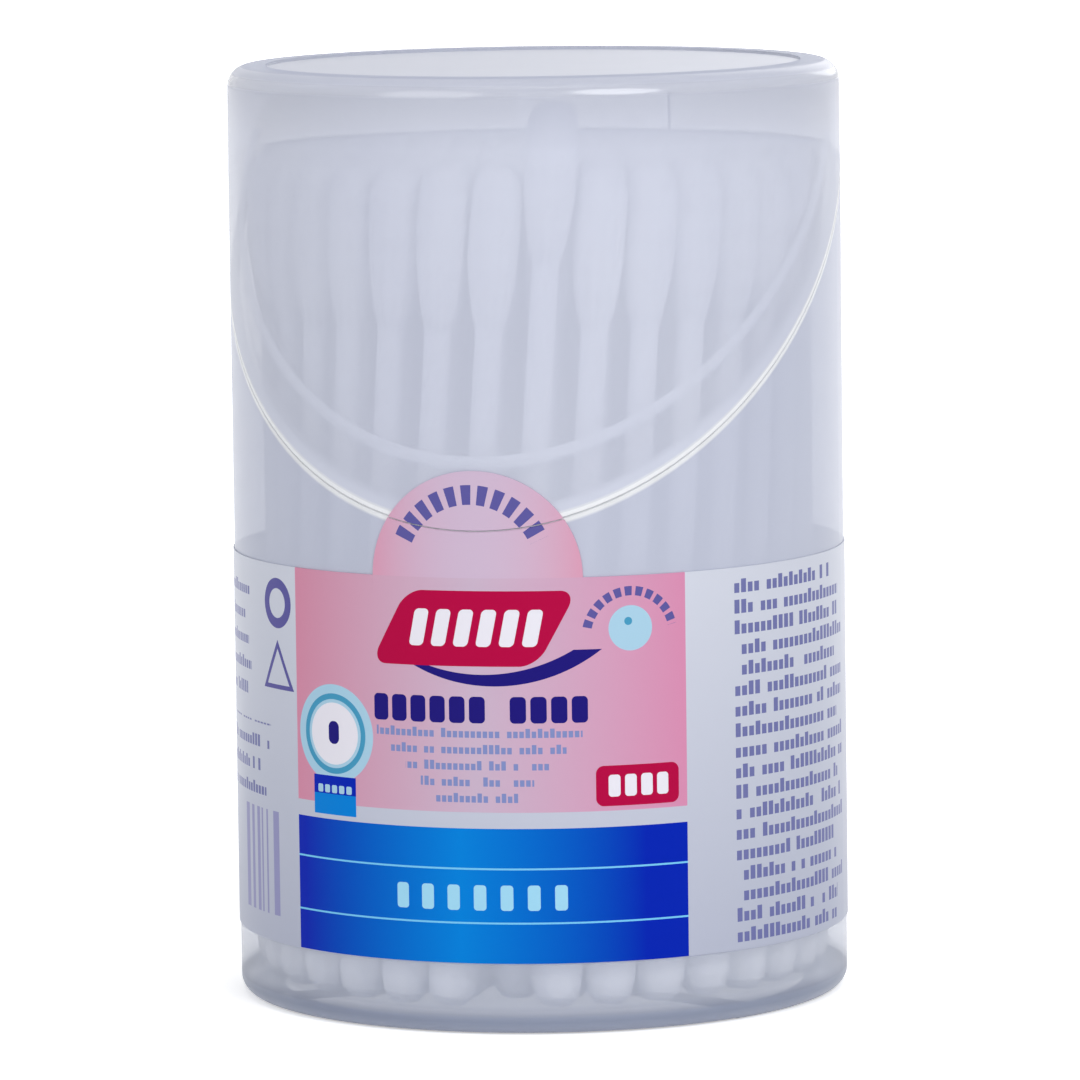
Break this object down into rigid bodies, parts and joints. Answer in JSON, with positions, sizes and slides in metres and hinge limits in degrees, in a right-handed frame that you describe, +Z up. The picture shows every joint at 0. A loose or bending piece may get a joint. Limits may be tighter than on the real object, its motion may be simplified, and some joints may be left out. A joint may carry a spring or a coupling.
{
  "type": "cotton swab tub",
  "caption": "Round translucent plastic tub of upright cotton swabs, with a slanted flip lid on a rear film hinge and a wrap-round printed label.",
  "frame": {"origin": "centre of the tub's foot, on the surface it stands on", "axes": "+Z up, -Y towards the front with the lid's low rim, the hinge at +Y"},
  "size_m": [0.0542, 0.0549, 0.0822],
  "materials": {
    "tub_plastic": "satin",
    "lid_plastic": "satin",
    "label_film": "gloss",
    "seal_film": "gloss",
    "stick_paper": "matte",
    "cotton": "matte"
  },
  "bodies": {
    "tub": {"tub": "tub_plastic", "label": "label_film", "sticks_1": "stick_paper", "sticks_2": "stick_paper", "sticks_3": "stick_paper", "sticks_4": "stick_paper", "sticks_5": "stick_paper", "sticks_6": "stick_paper", "lower_tips_1": "cotton", "lower_tips_2": "cotton", "lower_tips_3": "cotton", "lower_tips_4": "cotton", "lower_tips_5": "cotton", "lower_tips_6": "cotton", "upper_tips_1": "cotton", "upper_tips_2": "cotton", "upper_tips_3": "cotton", "upper_tips_4": "cotton", "upper_tips_5": "cotton", "upper_tips_6": "cotton"},
    "lid": {"lid": "lid_plastic", "seal_tab": "seal_film"}
  },
  "joints": [
    {"name": "lid_hinge", "type": "hinge", "parent": "tub", "child": "lid", "pos_m": [0, 0.0276, 0.074], "axis": [-1, 0, 0], "range_deg": [0, 170]}
  ]
}
